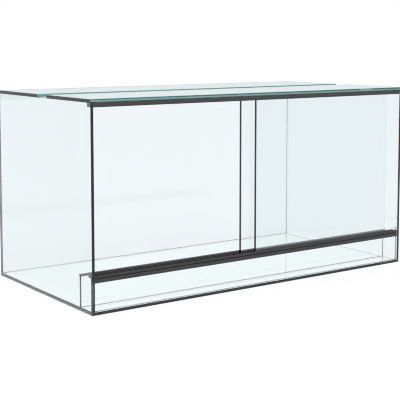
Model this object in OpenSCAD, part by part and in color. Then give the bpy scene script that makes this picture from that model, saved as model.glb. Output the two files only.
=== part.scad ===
// Glass terrarium for reptiles, with two sliding front doors that lift out of their tracks.
// X runs to the right, Y to the back and Z up, from the middle of the underside.

/* [Tank] */
// Outside width of the tank
tank_w = 800; // [500:1:1200]
// Outside depth of the tank
tank_d = 400; // [300:1:600]
// Outside height of the tank
tank_h = 400; // [300:1:600]
// Thickness of the floor, wall, riser and top glass
glass_t = 6; // [4:0.5:10]
// Thickness of the clear silicone in a seam
seam_t = 0.5; // [0.3:0.1:1.5]
// Width of the bevel that is ground on every glass edge
arris = 0.2; // [0.1:0.1:1]

/* [Top] */
// Depth of the top's front pane
top_front_d = 174; // [80:1:220]
// Width of the open slot between the two top panes
vent_w = 40; // [20:1:80]

/* [Risers] */
// Height of the risers' top edges above the ground
riser_top = 68; // [40:1:120]
// Distance from the tank's front to the inner riser's front face
inner_riser_y = 46; // [30:1:90]
// Thickness of the trim that caps the inner riser's top edge
cap_wall = 1; // [0.8:0.1:3]
// How far the trim's two lips reach down the inner riser's faces
cap_reach = 2.5; // [2:0.5:10]
// Gap between a lip of the trim and the glass
cap_play = 0.1; // [0.05:0.05:0.3]
// Radius of the trim's two top corners
cap_round = 0.8; // [0.2:0.1:1]

/* [Doors] */
// Thickness of the door glass
door_t = 6; // [3:0.5:8]
// How far the two doors overlap when they close the front
door_overlap = 30; // [10:1:60]
// How far the rear door stands from the right wall in its shown place
rear_door_open = 32.5; // [0:0.5:200]
// Gap between a door's end and the wall that it closes against
end_gap = 0.3; // [0.1:0.1:2]
// Gap under a door that stands in its groove
foot_gap = 0.1; // [0.05:0.05:0.3]

/* [Tracks] */
// Thickness of each of a track's three lips
lip_t = 1.6; // [1:0.1:3]
// Gap between a door and the lip on each side of it
side_play = 0.15; // [0.05:0.05:0.5]
// Depth of the lower track's grooves
lower_groove = 4.4; // [3:0.1:8]
// Room that a door has above it when it is lifted clear of the lower track
lift_play = 0.4; // [0.2:0.1:1.5]
// How far a standing door reaches into the upper track
door_hold = 2.4; // [1:0.1:4]
// Thickness of the lower track's web, under its grooves
lower_web = 1.2; // [0.8:0.1:3]
// Thickness of the upper track's web, over its grooves
upper_web = 1.5; // [0.8:0.1:3]
// Radius of the lower track's rear corner
web_round = 1; // [0.4:0.1:1.2]
// Thickness of the apron that hangs over the front riser
apron_t = 2; // [1.5:0.1:3]
// How far the apron hangs below the lower track's web
apron_drop = 8.5; // [4:0.5:20]
// Depth of the shadow line between the apron and the front lip
shadow_depth = 1.2; // [0.3:0.1:1.4]
// Height of the shadow line
shadow_h = 2; // [0.6:0.1:3]

/* [Hidden] */
$fn = 48;

glass_tint = [0.66, 0.86, 0.84, 0.35];
clear_silicone = [0.9, 0.93, 0.93, 0.6];
track_black = [0.06, 0.06, 0.07];

// The panes' planes, measured from the outside in
front_y = -tank_d / 2;
back_y = tank_d / 2;
side_x = tank_w / 2;
inner_x = side_x - glass_t;
between_x = inner_x - seam_t;
floor_top = glass_t;
wall_foot = floor_top + seam_t;
top_z = tank_h - glass_t;
wall_top = top_z - seam_t;
vent_front_y = front_y + top_front_d;
vent_back_y = vent_front_y + vent_w;
back_wall_y = back_y - glass_t;
riser_y = front_y + apron_t + seam_t;
inner_y = front_y + inner_riser_y;

// The tracks
groove_w = door_t + 2 * side_play;
track_d = 3 * lip_t + 2 * groove_w;
track_len = 2 * (inner_x - end_gap);
web_bottom = riser_top + seam_t;
groove_floor = web_bottom + lower_web;
lower_lip_top = groove_floor + lower_groove;
groove_roof = wall_top - upper_web;
tip_r = lip_t / 2;

// The inner riser's trim
cap_d = glass_t + 2 * (cap_play + cap_wall);
cap_foot = riser_top - cap_reach;
cap_h = cap_reach + cap_wall;

// A lifted door's foot clears the lower lips just before its top meets the groove's roof
upper_groove = lower_groove - foot_gap + lift_play + door_hold;

// The doors
door_l = inner_x + door_overlap / 2;
door_foot = groove_floor + foot_gap;
door_h = groove_roof - lift_play - lower_lip_top;
front_door_y = front_y + lip_t + side_play;
rear_door_y = front_door_y + groove_w + lip_t;
front_door_x = inner_x - end_gap - door_l;
rear_door_x = inner_x - rear_door_open - end_gap - door_l;

// A rectangle with its four corners cut by the arris
module ground_outline(width, height) {
    polygon([
        [arris, 0], [width - arris, 0], [width, arris], [width, height - arris],
        [width - arris, height], [arris, height], [0, height - arris], [0, arris]
    ]);
}

// A glass pane between two opposite corners, with the arris along all its edges
module pane(low, high) {
    size = high - low;
    translate(low)
        intersection() {
            linear_extrude(size.z)
                ground_outline(size.x, size.y);
            translate([0, size.y, 0])
                rotate([90, 0, 0])
                    linear_extrude(size.y)
                        ground_outline(size.x, size.z);
            rotate([90, 0, 90])
                linear_extrude(size.x)
                    ground_outline(size.y, size.z);
        }
}

// A strip of clear silicone between two opposite corners
module seam(low, high) {
    translate(low)
        cube(high - low);
}

// The trim's section, a channel with its mouth down, from its lips' feet
module cap_section() {
    difference() {
        union() {
            square([cap_d, cap_h - cap_round]);
            translate([cap_round, 0])
                square([cap_d - 2 * cap_round, cap_h]);
            translate([cap_round, cap_h - cap_round])
                circle(r = cap_round);
            translate([cap_d - cap_round, cap_h - cap_round])
                circle(r = cap_round);
        }
        translate([cap_wall, -cap_wall])
            square([glass_t + 2 * cap_play, cap_wall + cap_reach]);
    }
}

// One lip of a track, from its web to its rounded tip
module lip(depth) {
    square([lip_t, depth - tip_r]);
    translate([tip_r, depth - tip_r])
        circle(r = tip_r);
}

// The three lips of a track, a groove apart
module lips(depth) {
    for (i = [0:2])
        translate([i * (lip_t + groove_w), 0])
            lip(depth);
}

// The lower track's section, with its web's underside at height 0
module lower_track_section() {
    difference() {
        union() {
            square([track_d, lower_web]);
            translate([0, lower_web - tip_r])
                lips(lower_groove + tip_r);
            translate([0, -apron_drop + apron_t / 2])
                square([apron_t, apron_drop]);
            translate([apron_t / 2, -apron_drop + apron_t / 2])
                circle(r = apron_t / 2);
        }
        translate([-shadow_depth, lower_web - shadow_h])
            square([2 * shadow_depth, shadow_h]);
        translate([track_d - web_round, 0])
            difference() {
                square(web_round + tip_r);
                translate([0, web_round])
                    circle(r = web_round);
                translate([-web_round, web_round])
                    square(2 * web_round + tip_r);
            }
    }
}

// The upper track's section, upside down, with the top of its web at height 0
module upper_track_section() {
    square([track_d, upper_web]);
    translate([0, upper_web - tip_r])
        lips(upper_groove + tip_r);
}

module floor_pane() {
    color(glass_tint)
        pane([-between_x, front_y, 0], [between_x, back_y, floor_top]);
}

module left_pane() {
    color(glass_tint)
        pane([-side_x, front_y, 0], [-inner_x, back_y, wall_top]);
}

module right_pane() {
    color(glass_tint)
        pane([inner_x, front_y, 0], [side_x, back_y, wall_top]);
}

module back_pane() {
    color(glass_tint)
        pane([-between_x, back_wall_y, wall_foot], [between_x, back_y, wall_top]);
}

module top_front_pane() {
    color(glass_tint)
        pane([-side_x, front_y, top_z], [side_x, vent_front_y, tank_h]);
}

module top_rear_pane() {
    color(glass_tint)
        pane([-side_x, vent_back_y, top_z], [side_x, back_y, tank_h]);
}

module front_riser() {
    color(glass_tint)
        pane([-between_x, riser_y, wall_foot], [between_x, riser_y + glass_t, riser_top]);
}

module inner_riser() {
    color(glass_tint)
        pane([-between_x, inner_y, wall_foot], [between_x, inner_y + glass_t, riser_top]);
}

module riser_cap() {
    color(track_black)
        translate([-track_len / 2, inner_y - cap_play - cap_wall, cap_foot])
            rotate([90, 0, 90])
                linear_extrude(track_len)
                    cap_section();
}

module lower_track() {
    color(track_black)
        translate([-track_len / 2, front_y, web_bottom])
            rotate([90, 0, 90])
                linear_extrude(track_len)
                    lower_track_section();
}

module upper_track() {
    color(track_black)
        translate([-track_len / 2, front_y, wall_top])
            rotate([90, 0, 90])
                linear_extrude(track_len)
                    mirror([0, 1])
                        upper_track_section();
}

module front_door() {
    color(glass_tint)
        pane([front_door_x, front_door_y, door_foot],
             [front_door_x + door_l, front_door_y + door_t, door_foot + door_h]);
}

module rear_door() {
    color(glass_tint)
        pane([rear_door_x, rear_door_y, door_foot],
             [rear_door_x + door_l, rear_door_y + door_t, door_foot + door_h]);
}

module floor_left_seam() {
    color(clear_silicone)
        seam([-inner_x, front_y, 0], [-between_x, back_y, floor_top]);
}

module floor_right_seam() {
    color(clear_silicone)
        seam([between_x, front_y, 0], [inner_x, back_y, floor_top]);
}

module back_foot_seam() {
    color(clear_silicone)
        seam([-between_x, back_wall_y, floor_top], [between_x, back_y, wall_foot]);
}

module back_left_seam() {
    color(clear_silicone)
        seam([-inner_x, back_wall_y, floor_top], [-between_x, back_y, wall_top]);
}

module back_right_seam() {
    color(clear_silicone)
        seam([between_x, back_wall_y, floor_top], [inner_x, back_y, wall_top]);
}

module riser_foot_seam() {
    color(clear_silicone)
        seam([-between_x, riser_y, floor_top], [between_x, riser_y + glass_t, wall_foot]);
}

module riser_left_seam() {
    color(clear_silicone)
        seam([-inner_x, riser_y, floor_top], [-between_x, riser_y + glass_t, riser_top]);
}

module riser_right_seam() {
    color(clear_silicone)
        seam([between_x, riser_y, floor_top], [inner_x, riser_y + glass_t, riser_top]);
}

module inner_foot_seam() {
    color(clear_silicone)
        seam([-between_x, inner_y, floor_top], [between_x, inner_y + glass_t, wall_foot]);
}

module inner_left_seam() {
    color(clear_silicone)
        seam([-inner_x, inner_y, floor_top], [-between_x, inner_y + glass_t, riser_top]);
}

module inner_right_seam() {
    color(clear_silicone)
        seam([between_x, inner_y, floor_top], [inner_x, inner_y + glass_t, riser_top]);
}

module top_front_left_seam() {
    color(clear_silicone)
        seam([-side_x, front_y, wall_top], [-inner_x, vent_front_y, top_z]);
}

module top_front_right_seam() {
    color(clear_silicone)
        seam([inner_x, front_y, wall_top], [side_x, vent_front_y, top_z]);
}

module top_rear_left_seam() {
    color(clear_silicone)
        seam([-side_x, vent_back_y, wall_top], [-inner_x, back_wall_y, top_z]);
}

module top_rear_right_seam() {
    color(clear_silicone)
        seam([inner_x, vent_back_y, wall_top], [side_x, back_wall_y, top_z]);
}

module top_rear_back_seam() {
    color(clear_silicone)
        seam([-side_x, back_wall_y, wall_top], [side_x, back_y, top_z]);
}

// The bed turns the riser's top front edge: under the web, and behind the apron
module lower_track_bed() {
    color(clear_silicone)
        translate([-between_x, front_y, web_bottom])
            rotate([90, 0, 90])
                linear_extrude(2 * between_x)
                    union() {
                        translate([apron_t, -seam_t])
                            square([seam_t + glass_t, seam_t]);
                        translate([apron_t, -apron_drop + apron_t / 2])
                            square([seam_t, apron_drop - apron_t / 2]);
                    }
}

module upper_track_bed() {
    color(clear_silicone)
        seam([-track_len / 2, front_y, wall_top], [track_len / 2, front_y + track_d, top_z]);
}

floor_pane();
left_pane();
right_pane();
back_pane();
top_front_pane();
top_rear_pane();
front_riser();
inner_riser();
riser_cap();
lower_track();
upper_track();
front_door();
rear_door();
floor_left_seam();
floor_right_seam();
back_foot_seam();
back_left_seam();
back_right_seam();
riser_foot_seam();
riser_left_seam();
riser_right_seam();
inner_foot_seam();
inner_left_seam();
inner_right_seam();
top_front_left_seam();
top_front_right_seam();
top_rear_left_seam();
top_rear_right_seam();
top_rear_back_seam();
lower_track_bed();
upper_track_bed();
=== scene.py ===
import math

import bmesh
import bpy
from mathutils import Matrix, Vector, noise


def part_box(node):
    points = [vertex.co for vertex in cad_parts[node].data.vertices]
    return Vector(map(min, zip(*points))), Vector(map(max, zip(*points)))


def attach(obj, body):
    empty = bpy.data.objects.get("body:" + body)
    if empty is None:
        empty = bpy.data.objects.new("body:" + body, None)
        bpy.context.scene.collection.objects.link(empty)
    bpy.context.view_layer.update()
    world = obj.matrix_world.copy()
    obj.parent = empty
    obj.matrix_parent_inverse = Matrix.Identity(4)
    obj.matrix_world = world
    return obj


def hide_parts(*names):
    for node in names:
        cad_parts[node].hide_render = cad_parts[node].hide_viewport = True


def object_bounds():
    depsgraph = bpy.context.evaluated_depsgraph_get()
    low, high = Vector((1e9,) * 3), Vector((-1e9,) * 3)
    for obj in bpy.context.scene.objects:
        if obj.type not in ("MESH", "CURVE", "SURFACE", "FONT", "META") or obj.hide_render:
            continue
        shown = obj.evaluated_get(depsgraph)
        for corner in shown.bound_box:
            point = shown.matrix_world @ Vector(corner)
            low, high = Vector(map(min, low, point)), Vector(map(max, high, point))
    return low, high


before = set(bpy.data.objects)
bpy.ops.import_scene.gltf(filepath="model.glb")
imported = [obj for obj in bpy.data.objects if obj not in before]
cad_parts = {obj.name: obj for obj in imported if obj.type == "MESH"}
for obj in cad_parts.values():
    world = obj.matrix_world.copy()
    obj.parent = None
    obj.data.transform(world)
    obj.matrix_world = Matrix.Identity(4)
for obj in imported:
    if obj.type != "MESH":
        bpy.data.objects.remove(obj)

# The tank's box before anything is added to it
CAD_BOUNDS = [list(corner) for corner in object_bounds()]

MM = 0.001
AXES = {"x": Vector((1, 0, 0)), "y": Vector((0, 1, 0)), "z": Vector((0, 0, 1))}

# Every pane of the tank, with the axis that its two large faces look along
PANES = {
    "floor_pane": "z",
    "left_pane": "x",
    "right_pane": "x",
    "back_pane": "y",
    "top_front_pane": "z",
    "top_rear_pane": "z",
    "front_riser": "y",
    "inner_riser": "y",
    "front_door": "y",
    "rear_door": "y",
}
# Spray dries on the back pane, and the film softens what it mirrors
FILMED_PANES = ["back_pane"]
# The risers are cut from a paler sheet
PALE_PANES = ["front_riser", "inner_riser"]
BLACK_TRIMS = ["riser_cap", "lower_track", "upper_track"]
SEAMS = sorted(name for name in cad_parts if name.endswith("_seam"))


# Camera

# The photograph's perspective: the lens, where it stood and where it looked, turned to the right and down
LENS_MM = 92.07
SENSOR_MM = 36.0
CAMERA_PLACE = Vector((-1305, -1820, 510)) * MM
CAMERA_YAW = math.radians(35.32)
CAMERA_PITCH = math.radians(-5.24)
CAMERA_SHIFT_Y = -0.17


def add_camera():
    """The photograph's viewpoint, low at the front left."""
    data = bpy.data.cameras.new("camera")
    data.lens = LENS_MM
    data.sensor_width = SENSOR_MM
    data.shift_y = CAMERA_SHIFT_Y
    camera = bpy.data.objects.new("camera", data)
    forward = Vector((
        math.sin(CAMERA_YAW) * math.cos(CAMERA_PITCH),
        math.cos(CAMERA_YAW) * math.cos(CAMERA_PITCH),
        math.sin(CAMERA_PITCH),
    ))
    camera.location = CAMERA_PLACE
    camera.rotation_mode = "QUATERNION"
    camera.rotation_quaternion = forward.to_track_quat("-Z", "Y")
    bpy.context.scene.collection.objects.link(camera)
    bpy.context.scene.camera = camera


# Shader nodes

# How much a patch's noise rises from where its marks begin to where they are full
PATCH_RIM = 0.2
# Share of open sky over a groove's floor, and over a face that counts as open, for the painted shade in the
# plastic
GROOVE_SKY = 0.45
OPEN_SKY = 0.9
# A facet that looks along the pane's axis by more than the first is a large face, and by less than the
# second a cut edge; the ground bevels are between them
FACE_ALIGNMENT = 0.95
EDGE_ALIGNMENT = 0.3


def add(tree, kind, inputs=None, **settings):
    """A shader node with its settings, each input a plain value or another node's output."""
    made = tree.nodes.new("ShaderNode" + kind)
    for setting, value in settings.items():
        setattr(made, setting, value)
    for key, value in (inputs or {}).items():
        if isinstance(value, bpy.types.NodeSocket):
            tree.links.new(value, made.inputs[key])
        else:
            made.inputs[key].default_value = value
    return made


def math_node(tree, operation, *values):
    """The result of one sum on values or sockets."""
    return add(tree, "Math", dict(enumerate(values)), operation=operation).outputs[0]


def blend_values(tree, factor, low, high):
    """low where factor is 0, high where it is 1."""
    return add(tree, "Mix", {"Factor": factor, "A": low, "B": high}, data_type="FLOAT").outputs["Result"]


def blend_colours(tree, factor, low, high):
    """Colour low where factor is 0, high where it is 1."""
    mix = add(tree, "Mix", data_type="RGBA")
    for socket, value in (("Factor_Float", factor), ("A_Color", low), ("B_Color", high)):
        target = next(entry for entry in mix.inputs if entry.identifier == socket)
        if isinstance(value, bpy.types.NodeSocket):
            tree.links.new(value, target)
        else:
            target.default_value = value
    return next(entry for entry in mix.outputs if entry.identifier == "Result_Color")


def new_material(name):
    """An empty node material: the material, its tree and its output node."""
    material = bpy.data.materials.new(name)
    material.use_nodes = True
    material.node_tree.nodes.clear()
    output = material.node_tree.nodes.new("ShaderNodeOutputMaterial")
    return material, material.node_tree, output


def new_group(name, inputs, outputs):
    """An empty node group with named sockets: its tree, its input node and its output node."""
    tree = bpy.data.node_groups.new(name, "ShaderNodeTree")
    for socket, (kind, value) in inputs.items():
        made = tree.interface.new_socket(socket, in_out="INPUT", socket_type="NodeSocket" + kind)
        made.default_value = value
    for socket, kind in outputs.items():
        tree.interface.new_socket(socket, in_out="OUTPUT", socket_type="NodeSocket" + kind)
    return tree, tree.nodes.new("NodeGroupInput"), tree.nodes.new("NodeGroupOutput")


def place_group(tree, group, inputs):
    """A group's node in a material, with that material's own values."""
    made = add(tree, "Group", node_tree=group)
    for name, value in inputs.items():
        made.inputs[name].default_value = value
    return made


def handling_marks_group():
    """Cloudy patches with a fine mottle, as wiping and fingers leave them: 0 is clean, 1 is marked."""
    tree, given, result = new_group(
        "handling_marks",
        {"Patch Scale": ("Float", 9.0), "Mottle Scale": ("Float", 120.0), "Bareness": ("Float", 0.5)},
        {"Marks": "Float"},
    )
    place = add(tree, "TexCoord").outputs["Object"]
    patches = add(tree, "TexNoise", {
        "Vector": place, "Scale": given.outputs["Patch Scale"], "Detail": 3.0, "Roughness": 0.55,
    })
    mottle = add(tree, "TexNoise", {
        "Vector": place, "Scale": given.outputs["Mottle Scale"], "Detail": 4.0, "Roughness": 0.65,
    })
    rim = math_node(tree, "ADD", given.outputs["Bareness"], PATCH_RIM)
    where = add(tree, "MapRange", {
        "Value": patches.outputs[0], "From Min": given.outputs["Bareness"], "From Max": rim,
    }, interpolation_type="SMOOTHSTEP").outputs[0]
    marks = math_node(tree, "MULTIPLY", where, mottle.outputs[0])
    tree.links.new(marks, result.inputs["Marks"])
    return tree


def drawn_lines_group():
    """Fine relief that is stretched along the way a piece was drawn, rolled or tooled."""
    tree, given, result = new_group(
        "drawn_lines",
        {"Stretch": ("Vector", (0.03, 1.0, 1.0)), "Line Scale": ("Float", 800.0)},
        {"Height": "Float"},
    )
    place = add(tree, "TexCoord").outputs["Object"]
    along = add(tree, "VectorMath", {0: place, 1: given.outputs["Stretch"]}, operation="MULTIPLY")
    lines = add(tree, "TexNoise", {
        "Vector": along.outputs[0], "Scale": given.outputs["Line Scale"], "Detail": 3.0, "Roughness": 0.5,
    })
    tree.links.new(lines.outputs[0], result.inputs["Height"])
    return tree


def recess_shade_group():
    """Mask for painted shade, from occlusion: 1 deep in a groove or slot, 0 on open faces."""
    tree, given, result = new_group("recess_shade", {"Reach": ("Float", 4 * MM)}, {"Recess Shade": "Float"})
    sky = add(tree, "AmbientOcclusion", {"Distance": given.outputs["Reach"]}, samples=8, only_local=True)
    depth = add(tree, "MapRange", {
        "Value": sky.outputs["AO"], "From Min": GROOVE_SKY, "From Max": OPEN_SKY,
        "To Min": 1.0, "To Max": 0.0,
    }).outputs[0]
    tree.links.new(depth, result.inputs["Recess Shade"])
    return tree


def cut_edge_group():
    """Where a pane's narrow cut edges and their ground bevels are."""
    tree, given, result = new_group(
        "cut_edge", {"Face Axis": ("Vector", (0.0, 0.0, 1.0))}, {"Edge": "Float", "Bevel": "Float"},
    )
    facing = add(tree, "NewGeometry").outputs["True Normal"]
    along = add(tree, "VectorMath", {0: facing, 1: given.outputs["Face Axis"]}, operation="DOT_PRODUCT")
    alignment = math_node(tree, "ABSOLUTE", along.outputs["Value"])
    not_face = math_node(tree, "LESS_THAN", alignment, FACE_ALIGNMENT)
    not_edge = math_node(tree, "GREATER_THAN", alignment, EDGE_ALIGNMENT)
    tree.links.new(math_node(tree, "SUBTRACT", 1.0, not_edge), result.inputs["Edge"])
    tree.links.new(math_node(tree, "MULTIPLY", not_face, not_edge), result.inputs["Bevel"])
    return tree


# Materials

WHITE = (1, 1, 1, 1)
BLACK = (0, 0, 0, 1)

GLASS_IOR = 1.52
# What a metre of the glass takes out of red, green and blue light
GLASS_ABSORPTION = (8.1, 4.7, 4.9)
PALE_ABSORPTION = (2.6, 1.0, 0.9)
ABSORPTION_DENSITY = 10.0
MARK_ROUGHNESS = 0.012
EDGE_ROUGHNESS = 0.02
BEVEL_ROUGHNESS = 0.35
# A dried film has a soft gloss of its own and takes most of the glass's sharp gloss away
FILM_ROUGHNESS = 0.115
FILM_IOR = 1.5
FILMED_GLOSS = (0.05, 0.05, 0.05, 1)

SILICONE_IOR = 1.41
SILICONE_CLEAN = (0.8, 0.815, 0.815, 1)
SILICONE_MARKED = (0.71, 0.73, 0.73, 1)
SILICONE_CLEAN_ROUGHNESS = 0.08
SILICONE_MARKED_ROUGHNESS = 0.3
TOOLING_HEIGHT = 0.05 * MM

PLASTIC_OPEN = (0.048, 0.047, 0.047, 1)
PLASTIC_HANDLED = (0.056, 0.055, 0.054, 1)
# Painted shade: the near-black that grooves and slots are darkened to, where little light reaches
PLASTIC_PAINTED_SHADE = (0.002, 0.002, 0.002, 1)
OPEN_ROUGHNESS = 0.42
HANDLED_ROUGHNESS = 0.55
DEEP_ROUGHNESS = 0.9
GROOVE_REACH = 8 * MM
DRAWN_LINE_HEIGHT = 0.03 * MM


def glass_sort(pane):
    """Which of the three sorts of glass a pane is."""
    if pane in FILMED_PANES:
        return "filmed"
    if pane in PALE_PANES:
        return "pale"
    return "clear"


def tinted_glass(name, face_axis, sort, groups):
    """Float glass, whose colour is in its depth, with polished edges and ground bevels."""
    material, tree, output = new_material(name)
    marks = place_group(tree, groups["marks"], {
        "Patch Scale": 7.0, "Mottle Scale": 90.0, "Bareness": 0.52,
    })
    edge = place_group(tree, groups["edge"], {"Face Axis": face_axis})
    face = math_node(tree, "MULTIPLY", marks.outputs["Marks"], MARK_ROUGHNESS)
    cut = blend_values(tree, edge.outputs["Edge"], face, EDGE_ROUGHNESS)
    finish = blend_values(tree, edge.outputs["Bevel"], cut, BEVEL_ROUGHNESS)
    look = {"Base Color": WHITE, "Roughness": finish, "IOR": GLASS_IOR, "Transmission Weight": 1.0}
    if sort == "filmed":
        look["Specular Tint"] = FILMED_GLOSS
        look["Coat Weight"] = 1.0
        look["Coat Roughness"] = FILM_ROUGHNESS
        look["Coat IOR"] = FILM_IOR
    shader = add(tree, "BsdfPrincipled", look)
    tree.links.new(shader.outputs["BSDF"], output.inputs["Surface"])
    absorption = PALE_ABSORPTION if sort == "pale" else GLASS_ABSORPTION
    left_over = [1 - loss / ABSORPTION_DENSITY for loss in absorption]
    depth = add(tree, "VolumeAbsorption", {"Color": (*left_over, 1), "Density": ABSORPTION_DENSITY})
    tree.links.new(depth.outputs["Volume"], output.inputs["Volume"])
    return material


def clear_silicone(groups):
    """Cured clear sealant, a little milky and tooled by hand."""
    material, tree, output = new_material("clear_silicone")
    marks = place_group(tree, groups["marks"], {
        "Patch Scale": 40.0, "Mottle Scale": 600.0, "Bareness": 0.4,
    })
    lines = place_group(tree, groups["lines"], {"Stretch": (0.3, 0.3, 0.3), "Line Scale": 700.0})
    finish = blend_values(tree, marks.outputs["Marks"], SILICONE_CLEAN_ROUGHNESS, SILICONE_MARKED_ROUGHNESS)
    milk = blend_colours(tree, marks.outputs["Marks"], SILICONE_CLEAN, SILICONE_MARKED)
    relief = add(tree, "Bump", {
        "Height": lines.outputs["Height"], "Distance": TOOLING_HEIGHT, "Strength": 0.5,
    })
    shader = add(tree, "BsdfPrincipled", {
        "Base Color": milk, "Roughness": finish, "IOR": SILICONE_IOR, "Transmission Weight": 1.0,
        "Normal": relief.outputs[0],
    })
    tree.links.new(shader.outputs["BSDF"], output.inputs["Surface"])
    return material


def track_plastic(groups):
    """Black extruded plastic: drawn lines along its length, handled faces, and grooves darkened by painted
    shade.
    """
    material, tree, output = new_material("track_plastic")
    marks = place_group(tree, groups["marks"], {
        "Patch Scale": 25.0, "Mottle Scale": 500.0, "Bareness": 0.42,
    })
    lines = place_group(tree, groups["lines"], {"Stretch": (0.02, 1.0, 1.0), "Line Scale": 1400.0})
    recess_shade = place_group(tree, groups["recess_shade"], {"Reach": GROOVE_REACH})
    open_colour = blend_colours(tree, marks.outputs["Marks"], PLASTIC_OPEN, PLASTIC_HANDLED)
    # Painted shade: the occlusion mask darkens the colour in grooves and slots
    colour = blend_colours(tree, recess_shade.outputs["Recess Shade"], open_colour, PLASTIC_PAINTED_SHADE)
    open_finish = blend_values(tree, marks.outputs["Marks"], OPEN_ROUGHNESS, HANDLED_ROUGHNESS)
    finish = blend_values(tree, recess_shade.outputs["Recess Shade"], open_finish, DEEP_ROUGHNESS)
    relief = add(tree, "Bump", {
        "Height": lines.outputs["Height"], "Distance": DRAWN_LINE_HEIGHT, "Strength": 0.4,
    })
    shader = add(tree, "BsdfPrincipled", {
        "Base Color": colour, "Roughness": finish, "Specular IOR Level": 0.3, "Normal": relief.outputs[0],
    })
    tree.links.new(shader.outputs["BSDF"], output.inputs["Surface"])
    return material


def dress(name, material):
    """Gives a CAD node's object one material."""
    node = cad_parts[name]
    node.data.materials.clear()
    node.data.materials.append(material)


# Silicone

# The bead's skin lies this deep in the glass that it is bonded to, so that no air shows between the two
BEAD_BOND = 0.02 * MM
# A bead's free edge lies this far inside the panes' faces, and wanders by this much along its length
BEAD_RECESS = 0.25 * MM
BEAD_WANDER = 0.15 * MM
# About how many times a bead's edge wanders in a metre
WANDER_RATE = 60
# The length between two sections of a bead, and the steps in a quarter of a section's round end
BEAD_STEP = 16 * MM
BEAD_ROUND_STEPS = 3


def bead_section(half_gap, half_width):
    """A flat section with round ends, each corner given across the gap and along the width."""
    points = []
    for end in (1, -1):
        for step in range(2 * BEAD_ROUND_STEPS + 1):
            turn = math.pi * step / (2 * BEAD_ROUND_STEPS)
            points.append((
                end * half_gap * math.cos(turn),
                end * (half_width - half_gap + half_gap * math.sin(turn)),
            ))
    return points


def add_bead(mesh, low, high):
    """One run of silicone that fills the gap between two corners of a box."""
    size = high - low
    middle = (low + high) / 2
    gap_axis, width_axis, run_axis = sorted(range(3), key=lambda axis: size[axis])
    run = size[run_axis] - 2 * BEAD_RECESS
    half_gap = size[gap_axis] / 2 + BEAD_BOND
    stations = max(2, round(run / BEAD_STEP)) + 1
    rings = []
    for station in range(stations):
        place = Vector(middle)
        place[run_axis] += run * (station / (stations - 1) - 0.5)
        wander = noise.noise(place * WANDER_RATE) * BEAD_WANDER
        half_width = size[width_axis] / 2 - BEAD_RECESS + wander
        ring = []
        for across, along in bead_section(half_gap, half_width):
            corner = Vector(place)
            corner[gap_axis] += across
            corner[width_axis] += along
            ring.append(mesh.verts.new(corner))
        rings.append(ring)
    for first, second in zip(rings, rings[1:]):
        for index in range(len(first)):
            after = (index + 1) % len(first)
            mesh.faces.new((first[index], first[after], second[after], second[index]))
    mesh.faces.new(rings[0])
    mesh.faces.new(rings[-1])


def lay_silicone(node, runs, material):
    """A silicone piece of one or more runs, in place of a CAD node."""
    mesh = bmesh.new()
    for low, high in runs:
        add_bead(mesh, Vector(low), Vector(high))
    bmesh.ops.recalc_face_normals(mesh, faces=mesh.faces)
    data = bpy.data.meshes.new(node + "_bead")
    mesh.to_mesh(data)
    mesh.free()
    # The sides are smooth, and the two flat ends aren't
    data.polygons.foreach_set("use_smooth", [len(face.vertices) == 4 for face in data.polygons])
    data.materials.append(material)
    piece = bpy.data.objects.new(node + "_bead", data)
    bpy.context.scene.collection.objects.link(piece)
    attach(piece, "tank")
    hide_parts(node)


def lower_bed_runs():
    """The lower track's bed turns the riser's top front edge: one run on top, one behind the apron."""
    bed_low, bed_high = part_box("lower_track_bed")
    riser_low, riser_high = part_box("front_riser")
    on_top = ((bed_low.x, bed_low.y, riser_high.z), (bed_high.x, riser_high.y, bed_high.z))
    behind_apron = (bed_low, (bed_high.x, riser_low.y, riser_high.z))
    return [on_top, behind_apron]


# Stage

# The floor reaches this far each way, and lies this far under the tank so that their faces don't meet
FLOOR_REACH = 6.0
FLOOR_DROP = 0.2 * MM
# What the glass shows of the floor under the tank, brighter than white as painted light that fills in the
# tank's shadow there, of the floor away from it and of the studio, and what it mirrors
UNDER_TANK_PAINTED_LIGHT = (1.06, 1.075, 1.085, 1)
FAR_WHITE = (0.842, 0.868, 0.895, 1)
STUDIO_WHITE = (0.955, 0.978, 1.0, 1)
MIRRORED_WHITE = (0.835, 0.895, 0.905, 1)
# Where the near floor's painted light turns into the far floor, in half widths and half depths of the tank
NEAR_REACH = 0.95
FAR_REACH = 1.15
# The floor glows where it is seen, and only these shares of it take the tank's shadow, to the eye and in
# the glass
SHADOW_SHARE = 0.14
GLASS_SHADOW_SHARE = 0.1
# How much light the floor gives back, and how strong the studio's own light is
FLOOR_BOUNCE = 0.8
WORLD_LEVEL = 0.9
KEY_POWER = 60.0
KEY_SIZE = 3.0
KEY_PLACE = Vector((-1600, -1400, 3200)) * MM


def seen_in_glass(tree, path):
    """1 for rays that glass or gloss has turned."""
    return math_node(tree, "MAXIMUM", path.outputs["Is Glossy Ray"], path.outputs["Is Transmission Ray"])


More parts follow.
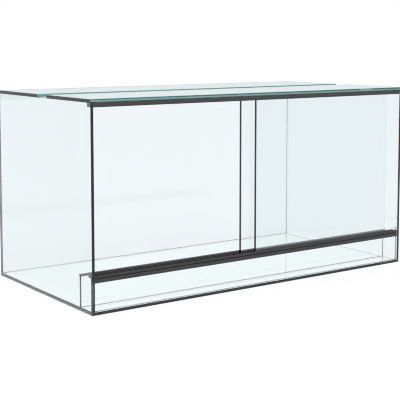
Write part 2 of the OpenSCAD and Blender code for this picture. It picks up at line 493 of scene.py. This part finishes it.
def add_floor():
    """A pale floor that reads white to the camera and off-white through the glass, with painted light under
    the tank.
    """
    material, tree, output = new_material("pale_floor")
    path = add(tree, "LightPath")
    in_glass = seen_in_glass(tree, path)
    by_camera = path.outputs["Is Camera Ray"]
    seen = math_node(tree, "MAXIMUM", by_camera, in_glass)
    place = add(tree, "NewGeometry").outputs["Position"]
    half_width, half_depth, _ = CAD_BOUNDS[1]
    per_half = (1 / half_width, 1 / half_depth, 0)
    in_halves = add(tree, "VectorMath", {0: place, 1: per_half}, operation="MULTIPLY")
    away = add(tree, "VectorMath", {0: in_halves.outputs[0]}, operation="ABSOLUTE")
    sides = add(tree, "SeparateXYZ", {0: away.outputs[0]})
    distance = math_node(tree, "MAXIMUM", sides.outputs["X"], sides.outputs["Y"])
    far = add(tree, "MapRange", {
        "Value": distance, "From Min": NEAR_REACH, "From Max": FAR_REACH,
    }, interpolation_type="SMOOTHSTEP").outputs[0]
    # Painted light: under the tank the floor glows brighter in the glass, to fill in the tank's shadow
    studio = blend_colours(tree, far, UNDER_TANK_PAINTED_LIGHT, FAR_WHITE)
    colour = blend_colours(tree, by_camera, studio, WHITE)
    share = blend_values(tree, in_glass, SHADOW_SHARE, GLASS_SHADOW_SHARE)
    albedo = blend_values(tree, seen, FLOOR_BOUNCE, share)
    glow_level = math_node(tree, "SUBTRACT", seen, math_node(tree, "MULTIPLY", by_camera, SHADOW_SHARE))
    diffuse = add(tree, "BsdfDiffuse", {"Color": blend_colours(tree, albedo, BLACK, WHITE)})
    glow = add(tree, "Emission", {"Color": colour, "Strength": glow_level})
    both = add(tree, "AddShader", {0: diffuse.outputs[0], 1: glow.outputs[0]})
    tree.links.new(both.outputs[0], output.inputs["Surface"])
    mesh = bpy.data.meshes.new("floor")
    corners = [(FLOOR_REACH * x, FLOOR_REACH * y, 0) for x, y in ((-1, -1), (1, -1), (1, 1), (-1, 1))]
    mesh.from_pydata(corners, [], [(0, 1, 2, 3)])
    mesh.materials.append(material)
    floor = bpy.data.objects.new("floor", mesh)
    floor.location.z = -FLOOR_DROP
    bpy.context.scene.collection.objects.link(floor)


def add_world():
    """An even white studio, off-white where the glass shows it."""
    world = bpy.data.worlds.new("studio")
    world.use_nodes = True
    tree = world.node_tree
    tree.nodes.clear()
    output = tree.nodes.new("ShaderNodeOutputWorld")
    path = add(tree, "LightPath")
    in_glass = seen_in_glass(tree, path)
    seen = math_node(tree, "MAXIMUM", path.outputs["Is Camera Ray"], in_glass)
    behind = blend_colours(tree, path.outputs["Is Transmission Ray"], WHITE, STUDIO_WHITE)
    light = add(tree, "Background", {
        "Color": blend_colours(tree, path.outputs["Is Glossy Ray"], behind, MIRRORED_WHITE),
        "Strength": blend_values(tree, seen, WORLD_LEVEL, 1.0),
    })
    tree.links.new(light.outputs[0], output.inputs["Surface"])
    bpy.context.scene.world = world


def add_key_light():
    """A large soft lamp, high at the front left, that the glass doesn't mirror."""
    data = bpy.data.lights.new("key_light", "AREA")
    data.energy = KEY_POWER
    data.size = KEY_SIZE
    lamp = bpy.data.objects.new("key_light", data)
    lamp.location = KEY_PLACE
    lamp.rotation_mode = "QUATERNION"
    lamp.rotation_quaternion = (-KEY_PLACE).to_track_quat("-Z", "Y")
    lamp.visible_glossy = False
    bpy.context.scene.collection.objects.link(lamp)


# The terrarium

# Light may pass this many faces of glass
GLASS_BOUNCES = 16
# Light that has been round an edge more often than this is lost, so long edges look dark from their ends
EDGE_BOUNCES = 5
# Fine dark lines stay as crisp as in the photograph
PIXEL_FILTER_WIDTH = 1.1

add_camera()

groups = {
    "marks": handling_marks_group(),
    "lines": drawn_lines_group(),
    "recess_shade": recess_shade_group(),
    "edge": cut_edge_group(),
}
silicone = clear_silicone(groups)
plastic = track_plastic(groups)
glass = {}
for name, axis in PANES.items():
    sort = glass_sort(name)
    kind = f"{sort}_glass_{axis}"
    if kind not in glass:
        glass[kind] = tinted_glass(kind, AXES[axis], sort, groups)
    dress(name, glass[kind])
for name in BLACK_TRIMS:
    dress(name, plastic)
for name in SEAMS:
    lay_silicone(name, [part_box(name)], silicone)
lay_silicone("upper_track_bed", [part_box("upper_track_bed")], silicone)
lay_silicone("lower_track_bed", lower_bed_runs(), silicone)

add_floor()
add_world()
add_key_light()

scene = bpy.context.scene
scene.view_settings.view_transform = "Standard"
scene.cycles.filter_width = PIXEL_FILTER_WIDTH
scene.cycles.max_bounces = GLASS_BOUNCES
scene.cycles.transmission_bounces = GLASS_BOUNCES
scene.cycles.glossy_bounces = EDGE_BOUNCES
